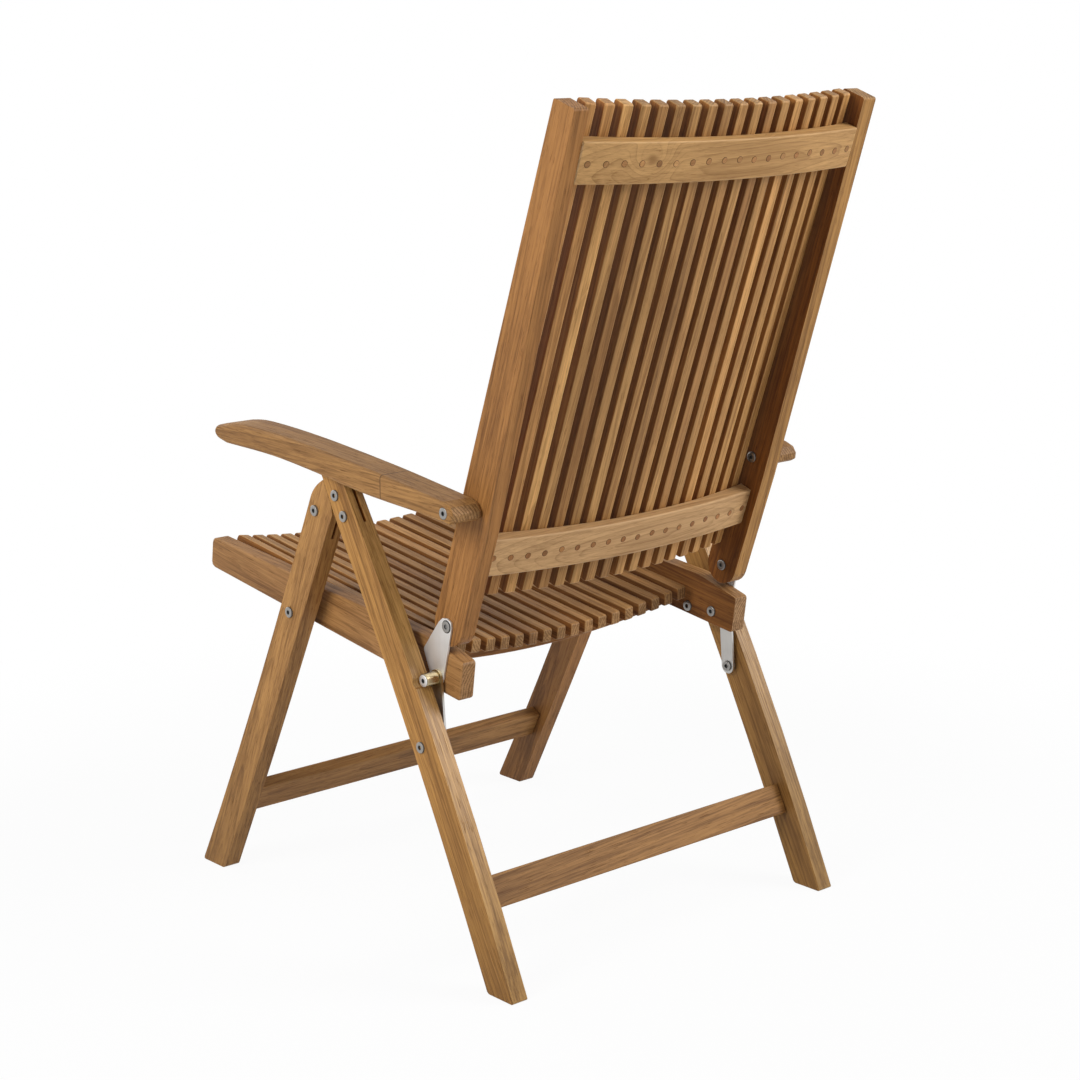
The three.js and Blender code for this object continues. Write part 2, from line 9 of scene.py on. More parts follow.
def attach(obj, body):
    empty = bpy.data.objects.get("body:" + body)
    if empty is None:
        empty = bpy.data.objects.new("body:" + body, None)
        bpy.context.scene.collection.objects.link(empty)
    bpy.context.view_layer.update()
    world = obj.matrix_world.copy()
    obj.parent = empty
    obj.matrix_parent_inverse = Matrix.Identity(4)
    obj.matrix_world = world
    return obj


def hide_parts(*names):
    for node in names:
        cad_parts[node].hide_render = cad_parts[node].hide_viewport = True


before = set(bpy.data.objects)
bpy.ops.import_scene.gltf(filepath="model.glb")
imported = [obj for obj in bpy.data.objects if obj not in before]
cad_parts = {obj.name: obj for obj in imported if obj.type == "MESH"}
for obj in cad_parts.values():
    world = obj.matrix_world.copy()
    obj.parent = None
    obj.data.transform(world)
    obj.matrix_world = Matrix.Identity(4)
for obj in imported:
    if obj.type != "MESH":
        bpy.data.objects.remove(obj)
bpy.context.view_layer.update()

# The studio: a camera where the photographer stood, a white floor that runs on without an
# edge, three large soft lamps behind, beside and in front, and a white room all round.
# The camera's place and turn were fitted to the chair's corners in the photograph.
camera_place = Vector((1.97017, 2.26988, 1.17035))
camera_yaw = math.radians(-138.683)
camera_pitch = math.radians(-12.794)
camera_roll = math.radians(-0.318)
camera_lens = 75.85
camera_sensor = 36

ahead = Vector((math.cos(camera_pitch) * math.sin(camera_yaw),
                math.cos(camera_pitch) * math.cos(camera_yaw), math.sin(camera_pitch)))
level = ahead.cross(Vector((0, 0, 1))).normalized()
aside = math.cos(camera_roll) * level + math.sin(camera_roll) * level.cross(ahead)
camera = bpy.data.objects.new("camera", bpy.data.cameras.new("camera"))
camera.data.lens = camera_lens
camera.data.sensor_width = camera_sensor
camera.data.clip_end = 200
camera.matrix_world = (Matrix.Translation(camera_place)
                       @ Matrix((aside, aside.cross(ahead), -ahead)).transposed().to_4x4())
bpy.context.scene.collection.objects.link(camera)
bpy.context.scene.camera = camera
bpy.context.scene.view_settings.view_transform = "Standard"


class Signal:
    """A number, colour or vector on its way through a material's nodes."""

    def __init__(self, shader, socket):
        self.shader = shader
        self.socket = socket

    def math(self, operation, *others):
        sockets = dict(enumerate((self, *others)))
        return self.shader.node("Math", {"operation": operation}, sockets)

    def __add__(self, other):
        return self.math("ADD", other)

    def __radd__(self, other):
        return self.math("ADD", other)

    def __sub__(self, other):
        return self.math("SUBTRACT", other)

    def __rsub__(self, other):
        return self.shader.node("Math", {"operation": "SUBTRACT"}, {0: other, 1: self})

    def __mul__(self, other):
        return self.math("MULTIPLY", other)

    def __rmul__(self, other):
        return self.math("MULTIPLY", other)

    def __truediv__(self, other):
        return self.math("DIVIDE", other)

    def __pow__(self, other):
        return self.math("POWER", other)

    def between(self, low, high):
        """0 below low, 1 above high, and a smooth rise in between."""
        ends = {"Value": self, "From Min": low, "From Max": high}
        return self.shader.node("MapRange", {"interpolation_type": "SMOOTHSTEP"}, ends)


class Shader:
    """A material or a world whose nodes are written as expressions."""

    def __init__(self, owner):
        self.owner = owner
        owner.use_nodes = True
        self.tree = owner.node_tree
        self.tree.nodes.clear()

    def node(self, kind, settings=None, sockets=None, output=None):
        made = self.tree.nodes.new("ShaderNode" + kind)
        for name, value in (settings or {}).items():
            setattr(made, name, value)
        for key, value in (sockets or {}).items():
            socket = made.inputs[key] if isinstance(key, int) else next(
                s for s in made.inputs if s.name == key and s.enabled)
            if isinstance(value, Signal):
                self.tree.links.new(value.socket, socket)
            else:
                socket.default_value = value
        outputs = [s for s in made.outputs if s.enabled and output in (None, s.name)]
        return Signal(self, outputs[0]) if outputs else None

    def mix(self, factor, first, second, blend="MIX"):
        settings = {"data_type": "RGBA", "blend_type": blend}
        return self.node("Mix", settings, {"Factor": factor, "A": first, "B": second})

    def stretched(self, vector, by):
        return self.node("VectorMath", {"operation": "MULTIPLY"}, {0: vector, 1: by})

    def noise(self, vector, stretch, detail=2.0, roughness=0.5, output="Fac"):
        sockets = {"Vector": self.stretched(vector, stretch), "Scale": 1.0,
                   "Detail": detail, "Roughness": roughness}
        return self.node("TexNoise", {"noise_dimensions": "3D"}, sockets, output)

    def show(self, surface):
        kind = "OutputWorld" if isinstance(self.owner, bpy.types.World) else "OutputMaterial"
        self.node(kind, None, {"Surface": surface})
        return self.owner


def seen_directly(shader):
    """1 for what the camera, a mirror-like surface or glass shows, 0 for light on the object."""
    return (shader.node("LightPath", output="Is Camera Ray").math(
        "MAXIMUM", shader.node("LightPath", output="Is Glossy Ray")).math(
        "MAXIMUM", shader.node("LightPath", output="Is Transmission Ray")))


room_low, room_high = 0.06, 0.46
bright_side = Vector((-0.45, 0.52, 0.73))
white = (1.0, 1.0, 1.0, 1.0)
room = Shader(bpy.data.worlds.new("studio"))
facing = room.node("VectorMath", {"operation": "DOT_PRODUCT"},
                   {0: room.node("TexCoord", output="Generated"), 1: bright_side}, "Value")
room_light = facing.between(-0.4, 1.0) * (room_high - room_low) + room_low
bpy.context.scene.world = room.show(room.node("Background", None, {
    "Color": white, "Strength": room_light.math("MAXIMUM", seen_directly(room))}))

floor_reach = 30.0
shadow_fade = (0.75, 1.5)
shadow_share = 0.94
paper = Shader(bpy.data.materials.new("studio_floor"))
place = paper.node("TexCoord", output="Object")
away = paper.node("VectorMath", {"operation": "LENGTH"}, {0: place}, "Value")
lit = paper.node("BsdfDiffuse", None, {"Color": (0.70, 0.70, 0.70, 1.0)})
plain = paper.node("Emission", None, {"Color": white, "Strength": 1.0})
plain_share = away.between(*shadow_fade) * (1 - shadow_share) + shadow_share
floor_mesh = bmesh.new()
bmesh.ops.create_grid(floor_mesh, x_segments=1, y_segments=1, size=floor_reach)
floor = bpy.data.objects.new("studio_floor", bpy.data.meshes.new("studio_floor"))
floor_mesh.to_mesh(floor.data)
floor_mesh.free()
floor.data.materials.append(paper.show(paper.node("MixShader", None, {
    0: seen_directly(paper) * plain_share, 1: lit, 2: plain})))
bpy.context.scene.collection.objects.link(floor)

chair_middle = Vector((0, 0, 0.5))
lamps = {"lamp_rear": ((-2.3, 2.6, 2.5), 1.8, 112), "lamp_side": ((3.4, 0.2, 2.4), 1.8, 104),
         "lamp_front": ((0.7, -3.6, 1.6), 2.4, 45)}
for name, (spot, size, power) in lamps.items():
    lamp = bpy.data.objects.new(name, bpy.data.lights.new(name, "AREA"))
    lamp.data.size = size
    lamp.data.energy = power
    lamp.location = spot
    lamp.rotation_euler = (chair_middle - Vector(spot)).to_track_quat("-Z", "Y").to_euler()
    bpy.context.scene.collection.objects.link(lamp)


# Front legs: bowed planks of teak, bandsawn from 24 mm board, their arrises eased by hand
# and sanded. Each has a slot in its top for the hinge plate and mortises for the stretcher.
# Teak is oiled brown with darker and paler bands, growth rings, short open pores.
def colour(red, green, blue):
    """A colour as a picture gives it, 0 to 255, in the renderer's own scale."""
    parts = (c / 255 for c in (red, green, blue))
    return tuple(c / 12.92 if c < 0.04045 else ((c + 0.055) / 1.055) ** 2.4 for c in parts)


deep_tone = (0.47, 0.39, 0.30, 1.0)
bright_tone = (1.28, 1.28, 1.29, 1.0)
# Lighter and bluer on rounded arrises: partly real wear, partly a painted highlight.
wear_and_highlight_tone = (1.35, 1.4, 1.5, 1.0)
# Painted shade, darker and redder, for faces turned to a near part.
painted_shade_tone = (0.52, 0.34, 0.14, 1.0)
# Painted light, lighter and bluer, for the rear legs' rear faces.
painted_light_tone = (1.25, 1.45, 1.95, 1.0)
knot_tone = (0.42, 0.32, 0.22, 1.0)
end_grain_tone = (0.95, 1.07, 1.45, 1.0)
low_darkening_tone = (0.72, 0.71, 0.66, 1.0)
seam_tint = (66, 38, 18)


def teak(name, ring_width=0.0042, ring_depth=0.45, band_depth=0.5, streak_depth=0.70,
         ring_fade=3.0, pore_depth=0.64, joint=None, knots=(), darker_below=None):
    """Teak whose rings, bands and pores follow the piece's own grain, round the tint it carries."""
    wood = Shader(bpy.data.materials.new(name))
    grain = wood.node("Attribute", {"attribute_name": "grain"}, output="Vector")
    tint = wood.node("Attribute", {"attribute_name": "tint"}, output="Color")
    arris = wood.node("Attribute", {"attribute_name": "arris"}, output="Fac")
    seam = None
    if joint is not None:
        where = wood.node("TexCoord", output="Object")
        depth = wood.node("SeparateXYZ", None, {0: where}, "Y") - joint
        beyond = depth.between(-0.0001, 0.0001)
        seam = 1 - depth.math("ABSOLUTE").between(0.0005, 0.0014)
        shift = wood.node("CombineXYZ", None, {0: beyond * 3.1, 1: beyond * 0.021, 2: beyond * 0.013})
        grain = wood.node("VectorMath", {"operation": "ADD"}, {0: grain, 1: shift})

    wander = wood.noise(grain, (2.2, 16.0, 16.0), detail=3.0, output="Color")
    wander = wood.node("VectorMath", {"operation": "SUBTRACT"}, {0: wander, 1: (0.5, 0.5, 0.5)})
    wander = wood.stretched(wander, (0.0, 0.016, 0.016))
    grown = wood.node("VectorMath", {"operation": "ADD"}, {0: grain, 1: wander})
    from_pith = wood.node("VectorMath", {"operation": "LENGTH"},
                          {0: wood.stretched(grown, (0.0, 1.0, 1.0))}, "Value")
    core = None
    for knot, reach in knots:
        off = wood.node("VectorMath", {"operation": "SUBTRACT"},
                        {0: wood.node("TexCoord", output="Object"), 1: knot})
        off = wood.node("VectorMath", {"operation": "LENGTH"},
                        {0: wood.stretched(off, (0.7, 1.0, 1.0))}, "Value")
        from_pith = from_pith + (1 - off.between(0.0, reach)) * reach * 0.6
        heart = 1 - off.between(reach * 0.04, reach * 0.24)
        core = heart if core is None else core.math("MAXIMUM", heart)
    years = from_pith / ring_width
    season = years.math("FRACT")
    late = (season ** ring_fade) * (1 - season.between(0.94, 1.0))
    cut_end = wood.node("Attribute", {"attribute_name": "cut_end"}, output="Fac")
    year_tone = wood.node("TexWhiteNoise", {"noise_dimensions": "1D"},
                          {"W": years.math("FLOOR")}, "Value")
    bands = wood.noise(grain, (1.1, 42.0, 42.0), detail=3.0, roughness=0.55)
    patches = wood.noise(grain, (3.0, 9.0, 9.0), detail=2.0)
    streaks = wood.noise(grain, (5.0, 230.0, 230.0), detail=4.0, roughness=0.66)
    fibres = wood.noise(grain, (16.0, 700.0, 700.0), detail=2.0)
    vessels = wood.noise(grain, (38.0, 1000.0, 1000.0), detail=1.0)
    pores = vessels.between(0.62, 0.72) * (1 - season * 0.6)

    shade = ((bands - 0.5) * band_depth * 1.6 + (patches - 0.5) * 0.4
             + (streaks - 0.5) * streak_depth * 2.2 + (fibres - 0.5) * (pore_depth + 0.1)
             + (year_tone - 0.5) * 0.16 - late * (cut_end * 0.7 + ring_depth * 0.5)
             - pores * pore_depth + 0.68)
    deep = wood.mix(1.0, tint, deep_tone, "MULTIPLY")
    bright = wood.mix(1.0, tint, bright_tone, "MULTIPLY")
    body = wood.mix(shade.between(0.05, 1.15), deep, bright)
    # The rounded arrises are lightened: partly wear, partly a painted highlight.
    body = wood.mix(arris * 0.22, body, wood.mix(1.0, tint, wear_and_highlight_tone, "MULTIPLY"))
    # Painted shade: faces turned to a near part are made darker, redder and rougher.
    painted_side = wood.node("Attribute", {"attribute_name": "painted_shade_and_light"}, output="Fac")
    body = wood.mix(painted_side, body, wood.mix(1.0, body, painted_shade_tone, "MULTIPLY"))
    # Painted light: a face given a negative value is made lighter and bluer.
    body = wood.mix(painted_side * -1, body, wood.mix(1.0, body, painted_light_tone, "MULTIPLY"))
    if core is not None:
        body = wood.mix(core * 0.65, body, wood.mix(1.0, tint, knot_tone, "MULTIPLY"))
    body = wood.mix(cut_end * 0.6, body, wood.mix(1.0, body, end_grain_tone, "MULTIPLY"))
    # Darker towards the bottom, below the given height, with a ragged edge.
    if darker_below is not None:
        up = wood.node("SeparateXYZ", None, {0: wood.node("TexCoord", output="Object")}, "Z")
        darkened = wood.mix(1.0, body, low_darkening_tone, "MULTIPLY")
        body = wood.mix(1 - (up + (patches - 0.5) * 0.1).between(0.0, darker_below), body, darkened)
    if seam is not None:
        body = wood.mix(seam * 0.75, body, (*colour(*seam_tint), 1.0))
    height = streaks * 0.5 + fibres * 0.3 - late * 0.35 - pores * 0.9
    normal = wood.node("Bump", None, {"Strength": 0.35, "Distance": 0.0004, "Height": height})
    surface = wood.node("BsdfPrincipled", None, {
        "Base Color": body, "Roughness": 0.62 - streaks * 0.14 + pores * 0.2 - arris * 0.06 + painted_side * 0.25,
        "Normal": normal, "Specular IOR Level": 0.24})
    return wood.show(surface)


touching = 2e-5


def merged_copy(node, is_steel=None):
    """A CAD node's mesh with its loose triangles merged, without the steel that is fused to it."""
    shape = bmesh.new()
    shape.from_mesh(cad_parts[node].data)
    bmesh.ops.remove_doubles(shape, verts=shape.verts[:], dist=touching)
    if is_steel:
        doomed = [face for face in shape.faces if is_steel(face)]
        bmesh.ops.delete(shape, geom=doomed, context="FACES")
        open_edges = [edge for edge in shape.edges if edge.is_boundary]
        bmesh.ops.holes_fill(shape, edges=open_edges, sides=0)
    bmesh.ops.dissolve_limit(shape, angle_limit=math.radians(0.4), use_dissolve_boundaries=False,
                             verts=shape.verts[:], edges=shape.edges[:], delimit={"NORMAL"})
    return shape


def ease(shape, radius, wanted=lambda edge: True, shortest=0.003, sharper_than=48, segments=3):
    """Rounds the wanted arrises of a board and marks the new faces, which the teak lightens for wear and a
    painted highlight.
    """
    wear_and_highlight = shape.faces.layers.float.get("arris") or shape.faces.layers.float.new("arris")
    arrises = [edge for edge in shape.edges
               if edge.is_manifold and edge.is_convex and edge.calc_length() > shortest
               and edge.calc_face_angle() > math.radians(sharper_than) and wanted(edge)]
    made = bmesh.ops.bevel(shape, geom=arrises, offset=radius, offset_type="OFFSET",
                           segments=segments, profile=0.5, affect="EDGES", clamp_overlap=True,
                           material=-1)
    for face in made["faces"]:
        face[wear_and_highlight] = 1.0


seeds = random.Random(20)


def finished(shape, name, body, material, stands_for, smooth_under=50):
    """The shape as a piece of the chair that rides on a body."""
    mesh = bpy.data.meshes.new(name)
    shape.to_mesh(mesh)
    shape.free()
    if "custom_normal" in mesh.attributes:
        mesh.attributes.remove(mesh.attributes["custom_normal"])
    mesh.materials.append(material)
    mesh.polygons.foreach_set("use_smooth", [True] * len(mesh.polygons))
    mesh.set_sharp_from_angle(angle=math.radians(smooth_under))
    piece = bpy.data.objects.new(name, mesh)
    bpy.context.scene.collection.objects.link(piece)
    even = piece.modifiers.new("even_normals", "WEIGHTED_NORMAL")
    even.keep_sharp = True
    even.weight = 100
    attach(piece, body)
    if stands_for:
        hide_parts(*stands_for)
    return piece


def give_grain(piece, tint, along, wide, pith, climb, painted_shading=None):
    """Stores where each point lies along, across and through the board it was sawn from.

    The last test gives 1 for a face that gets painted shade, darker and redder, and -1 for one that gets
    painted light, lighter and bluer."""
    along = Vector(along).normalized()
    wide = Vector(wide)
    wide = (wide - wide.dot(along) * along).normalized()
    through = along.cross(wide)
    mesh = piece.data
    middle = sum((v.co for v in mesh.vertices), Vector()) / len(mesh.vertices)
    start = seeds.uniform(2.0, 40.0)
    places = []
    for vertex in mesh.vertices:
        rest = vertex.co - middle
        reach = rest.dot(along)
        places += [start + reach, pith[0] + rest.dot(wide) + climb[0] * reach,
                   pith[1] + rest.dot(through) + climb[1] * reach]
    mesh.attributes.new("grain", "FLOAT_VECTOR", "POINT").data.foreach_set("vector", places)
    whole = [*colour(*tint), 1.0] * len(mesh.vertices)
    mesh.attributes.new("tint", "FLOAT_COLOR", "POINT").data.foreach_set("color", whole)
    ends = [float(abs(face.normal.dot(along)) > 0.75) for face in mesh.polygons]
    mesh.attributes.new("cut_end", "FLOAT", "FACE").data.foreach_set("value", ends)
    if painted_shading:
        painted_amounts = [float(painted_shading(face)) for face in mesh.polygons]
        mesh.attributes.new("painted_shade_and_light", "FLOAT", "FACE").data.foreach_set("value", painted_amounts)


sides = {"left": 1, "right": -1}
leg_planes = (0.267, 0.291)
slot_planes = (0.2769, 0.2811)
hair = 5e-5
leg_ease = 0.0034
foot_ease = 0.0045


def on_a_face(planes):
    """True for an edge that lies in one of the piece's two flat sides."""
    return lambda edge: any(all(abs(abs(v.co.x) - x) < touching for v in edge.verts) for x in planes)


def across_foot(edge):
    """True for the two arrises across the sole of a leg."""
    low, high = sorted(abs(v.co.x) for v in edge.verts)
    return max(v.co.z for v in edge.verts) < hair and high - low > 0.01


def in_a_leg_slot(face):
    """1 for the sawn walls of the slot in a leg's top, which get painted shade."""
    return float(slot_planes[0] - hair < abs(face.center.x) < slot_planes[1] + hair
                 and abs(face.normal.x) > 0.9)


def eased_leg(node, is_steel=None):
    """A leg's board with the arrises of its sole and of its two flat sides rounded."""
    plank = merged_copy(node, is_steel)
    ease(plank, foot_ease, across_foot, sharper_than=30, segments=4)
    ease(plank, leg_ease, on_a_face(leg_planes), segments=4)
    return plank


front_leg_run = (0, 0.275, 0.600)
frame_teak = teak("teak_frame", band_depth=0.72, darker_below=0.34)
front_leg_tints = {"left": (161, 118, 66), "right": (150, 105, 58)}
for side in sides:
    plank = eased_leg("front_leg_" + side)
    leg = finished(plank, "front_leg_board_" + side, "front_frame", frame_teak,
                   ["front_leg_" + side])
    give_grain(leg, front_leg_tints[side], front_leg_run, (0, 1, 0), (0.012, 0.045), (0.02, 0.05),
               in_a_leg_slot)

# Rear legs: like the front ones, but straight in the foot and notched behind for the lock
# pin. The steel that the CAD solid carries is taken off and put on again as separate pieces.
leg_hinge = (-0.0800, 0.5586)
hinge_reach = 0.0095
nearly_slot_width = 0.0041


def steel_on_rear_leg(face):
    """True for a face of the hinge plate or a bolt that the CAD fuses to a rear leg."""
    reach = [abs(v.co.x) for v in face.verts]
    middle = sum(reach) / len(reach)
    if not leg_planes[0] - hair / 5 < middle < leg_planes[1] + hair / 5:
        return True
    if all(math.hypot(v.co.y - leg_hinge[0], v.co.z - leg_hinge[1]) < hinge_reach for v in face.verts):
        return True
    in_slot = min(reach) > slot_planes[0] - hair and max(reach) < slot_planes[1] + hair
    slot_floor = max(reach) - min(reach) > nearly_slot_width
    slot_wall = max(reach) - min(reach) < hair and min(abs(middle - x) for x in slot_planes) < hair
    return in_slot and not slot_floor and not slot_wall


rear_leg_run = (0, -0.306, 0.605)
rear_leg_tints = {"left": (164, 119, 61), "right": (156, 115, 62)}
for side in sides:
    plank = eased_leg("rear_leg_" + side, steel_on_rear_leg)
    leg = finished(plank, "rear_leg_board_" + side, "rear_frame", frame_teak,
                   ["rear_leg_" + side])
    # The slot walls get painted shade and the rear face gets painted light.
    give_grain(leg, rear_leg_tints[side], rear_leg_run, (0, 1, 0), (-0.02, 0.06), (0.03, 0.02),
               lambda face: in_a_leg_slot(face) or -0.85 * float(face.normal.y > 0.7))

# Leg hinge: a plate of stainless steel in the slots of both leg tops. Two bolts hold it in
# the rear leg, and the third is the pin on which the front leg turns. All heads are flat
# and round, with a bevelled rim and a hexagon socket, and stand on the wood.
head_radius = 0.00725
head_height = 0.0027
socket_radius = 0.0028
bolt_radius = 0.004
running_gap = 0.0003
plate_ease = 0.0004


def steel(name, tone, roughness, brushed=(500.0, 500.0, 12.0), scratch=0.3, stained=None):
    """Brushed metal, with painted shade in a socket or round a rim, and stained if wanted."""
    metal = Shader(bpy.data.materials.new(name))
    where = metal.node("TexCoord", output="Object")
    lines = metal.noise(where, brushed, detail=3.0, roughness=0.6)
    clouds = metal.noise(where, (38.0, 38.0, 38.0), detail=3.0)
    clean = (*tone, 1.0)
    if stained:
        stain, low, high = stained
        up = metal.node("SeparateXYZ", None, {0: where}, "Z") + (clouds - 0.5) * 0.03
        clean = metal.mix(up.between(low, high), clean, (*stain, 1.0))
    dull = metal.mix(1.0, clean, (0.70, 0.69, 0.67, 1.0), "MULTIPLY")
    shade = (lines - 0.5) * 0.5 + (clouds - 0.5) * 0.5 + 0.6
    # Painted shade: black, not metallic and rougher where the attribute is set.
    painted_shade = metal.node("Attribute", {"attribute_name": "painted_shade"}, output="Fac")
    relief = metal.node("Bump", None, {"Strength": scratch, "Distance": 0.0001, "Height": lines})
    surface = metal.node("BsdfPrincipled", None, {
        "Base Color": metal.mix(painted_shade, metal.mix(shade, dull, clean), (0.012, 0.011, 0.010, 1.0)),
        "Metallic": 1.0 - painted_shade,
        "Roughness": (lines - 0.5) * 0.18 + (clouds - 0.5) * 0.14 + painted_shade * 0.4 + roughness,
        "Normal": relief})
    return metal.show(surface)


def to_side(point, outward):
    """The turn and move that take a shape on the Z axis to a point, facing out along X."""
    return Matrix.Translation(point) @ Matrix.Rotation(outward * math.pi / 2, 4, "Y")


def ring_on(shape, edges, scale, height):
    """Extrudes a ring of edges to a new ring, scaled about the Z axis and moved to a height."""
    grown = bmesh.ops.extrude_edge_only(shape, edges=edges)["geom"]
    points = {part for part in grown if isinstance(part, bmesh.types.BMVert)}
    for point in points:
        point.co = Vector((point.co.x * scale, point.co.y * scale, height))
    return points, [part for part in grown
                    if isinstance(part, bmesh.types.BMEdge) and set(part.verts) <= points]


def add_head(shape, point, outward, height, radius):
    """A round bolt head that stands on a face at the point, with a stub of its shank."""
    painted_shade = shape.verts.layers.float.get("painted_shade") or shape.verts.layers.float.new("painted_shade")
    around = 24
    stub_radius, stub_length = 0.0036, 0.0022
    base = bmesh.ops.create_circle(shape, cap_ends=True, segments=around, radius=stub_radius)["verts"]
    for v in base:
        v.co.z = -stub_length
    every = set(base)
    edges = list({edge for v in base for edge in v.link_edges})
    steps = ((1.0, 0.0), (radius / stub_radius, 0.0), (1.0, 0.66), (0.97, 0.86), (0.91, 1.0),
             (0.60, 1.0), (0.94, 0.96))
    # The head's foot and lower side and the socket's walls and floor carry painted shade.
    rim_shade = {0.0: 0.8, 0.66: 0.35}
    for scale, share in steps:
        points, edges = ring_on(shape, edges, scale, height * share)
        every |= points
        for v in points:
            v[painted_shade] = rim_shade.get(share, 0.0)
    sixth = math.pi / 3
    for floor_height, socket_shade in ((height * 0.93, 0.95), (0.0002 - stub_length * 0.6, 1.0)):
        points, edges = ring_on(shape, edges, 1.0, floor_height)
        every |= points
        for v in points:
            turn = math.atan2(v.co.y, v.co.x) % sixth - sixth / 2
            flat = v.co.xy.normalized() * socket_radius * math.cos(sixth / 2) / math.cos(turn)
            v.co.x, v.co.y = flat
            v[painted_shade] = socket_shade
    bmesh.ops.holes_fill(shape, edges=edges, sides=0)
    bmesh.ops.transform(shape, matrix=to_side(point, outward), verts=list(every))


def add_rod(shape, point, reach, radius, rim=0.0, around=24):
    """A round bar across the chair between two distances from its middle, with eased rims."""
    low, high = sorted(reach)
    middle = Vector(((low + high) / 2, *point))
    made = bmesh.ops.create_cone(shape, cap_ends=True, segments=around, radius1=radius,
                                 radius2=radius, depth=high - low)["verts"]
    bmesh.ops.transform(shape, matrix=to_side(middle, 1), verts=made)
    if rim:
        rims = [edge for v in made for edge in v.link_edges if len(edge.link_faces) == 2
                and {len(face.verts) for face in edge.link_faces} == {4, around}]
        bmesh.ops.bevel(shape, geom=list(set(rims)), offset=rim, segments=2, profile=0.5,
                        affect="EDGES", material=-1)


def bolt(name, side, point, heads, rod, body, stands_for, metal, rod_radius=bolt_radius,
         radius=head_radius):
    """A bolt across the chair: heads are (distance from the middle, +1 out or -1 in, height)."""
    shape = bmesh.new()
    for distance, facing, height in heads:
        add_head(shape, (side * distance, *point), side * facing, height, radius)
    if rod:
        add_rod(shape, point, (side * rod[0], side * rod[1]), rod_radius)
    bmesh.ops.recalc_face_normals(shape, faces=shape.faces[:])
    return finished(shape, name, body, metal, [stands_for], smooth_under=32)


def cut_plate(corners, planes, sign, corner_radius, segments=5):
    """A plate of steel sheet cut to an outline, with round corners and broken edges."""
    sheet = bmesh.new()
    outline = [sheet.verts.new((sign * planes[0], y, z)) for y, z in corners]
    sheet.faces.new(outline)
    bmesh.ops.bevel(sheet, geom=outline, offset=corner_radius, segments=segments, profile=0.5,
                    affect="VERTICES", material=-1)
    bmesh.ops.remove_doubles(sheet, verts=sheet.verts[:], dist=1e-5)
    raised = bmesh.ops.extrude_face_region(sheet, geom=sheet.faces[:])["geom"]
    bmesh.ops.translate(sheet, vec=(sign * (planes[1] - planes[0]), 0, 0),
                        verts=[part for part in raised if isinstance(part, bmesh.types.BMVert)])
    bmesh.ops.recalc_face_normals(sheet, faces=sheet.faces[:])
    ease(sheet, plate_ease, shortest=0.0005, segments=2)
    return sheet


bolt_steel = steel("stainless_bolts", (0.36, 0.35, 0.335), 0.34, brushed=(60.0, 420.0, 420.0), scratch=0.2)
plate_steel = steel("stainless_plate", (0.80, 0.79, 0.78), 0.55)
plate_planes = (0.2775, 0.2805)
plate_corners = [(-0.0900, 0.5486), (-0.0180, 0.5505), (-0.0080, 0.5605),
                 (-0.0252, 0.5951), (-0.0452, 0.5951), (-0.0900, 0.5686)]
plate_corner_radius = 0.006
plate_bolts = {"upper": (-0.0352, 0.5851), "lower": (-0.0180, 0.5605)}
for side, sign in sides.items():
    sheet = cut_plate(plate_corners, plate_planes, sign, plate_corner_radius)
    finished(sheet, "hinge_plate_" + side, "rear_frame", plate_steel, ["rear_leg_" + side])
    bolt("leg_hinge_bolt_" + side, sign, leg_hinge,
         [(leg_planes[1] + running_gap, 1, head_height), (leg_planes[0] - running_gap, -1, head_height)],
         (leg_planes[0] - running_gap, leg_planes[1] + running_gap), "rear_frame",
         "rear_leg_" + side, bolt_steel)
    for level_name, point in plate_bolts.items():
        bolt(f"plate_bolt_{level_name}_{side}", sign, point,
             [(leg_planes[1], 1, head_height), (leg_planes[0], -1, head_height)], None,
             "rear_frame", "rear_leg_" + side, bolt_steel)

# Stretchers: flat bars of teak between the legs of a pair, tenoned into them, with all four
# arrises eased.
bar_ease = 0.002


def nearer_than(reach):
    """True for an edge that stays nearer to the chair's middle, so a tenon stays sharp."""
    return lambda edge: max(abs(v.co.x) for v in edge.verts) < reach


stretcher_tints = {"front": (158, 115, 66), "rear": (157, 114, 64)}
for end, body in (("front", "front_frame"), ("rear", "rear_frame")):
    bar = merged_copy(end + "_stretcher")
    ease(bar, bar_ease, nearer_than(leg_planes[0] + 0.0005))
    stretcher = finished(bar, end + "_stretcher_bar", body, frame_teak, [end + "_stretcher"])
    give_grain(stretcher, stretcher_tints[end], (1, 0, 0), (0, 0, 1), (0.01, 0.03), (0.03, 0.04))

# Seat rails: straight boards with a chamfered rear end, one inside each pair of legs. The
# bolt that each turns on is put on again as a piece of its own.
rail_planes = (0.2316, 0.2542)


def steel_on_seat_rail(face):
    """True for a face of a bolt or spacer that the CAD fuses to a seat rail."""
    reach = [abs(v.co.x) for v in face.verts]
    middle = sum(reach) / len(reach)
    return not rail_planes[0] - hair / 5 < middle < rail_planes[1] + hair / 5


seat_slope = math.radians(8.01)
seat_run = (0, math.cos(seat_slope), -math.sin(seat_slope))
seat_up = (0, math.sin(seat_slope), math.cos(seat_slope))
seat_rail_ease = 0.0024
seat_rail_tints = {"left": (148, 107, 62), "right": (157, 118, 74)}
for side in sides:
    plank = merged_copy("seat_rail_" + side, steel_on_seat_rail)
    ease(plank, seat_rail_ease, sharper_than=30)
    rail = finished(plank, "seat_rail_board_" + side, "seat", frame_teak,
                    ["seat_rail_" + side])
    # The rail's inner face gets painted shade.
    give_grain(rail, seat_rail_tints[side], seat_run, seat_up, (0.02, 0.05), (0.01, 0.02),
               lambda face: 0.9 if face.normal.x * sides[side] < -0.9 else 0.0)

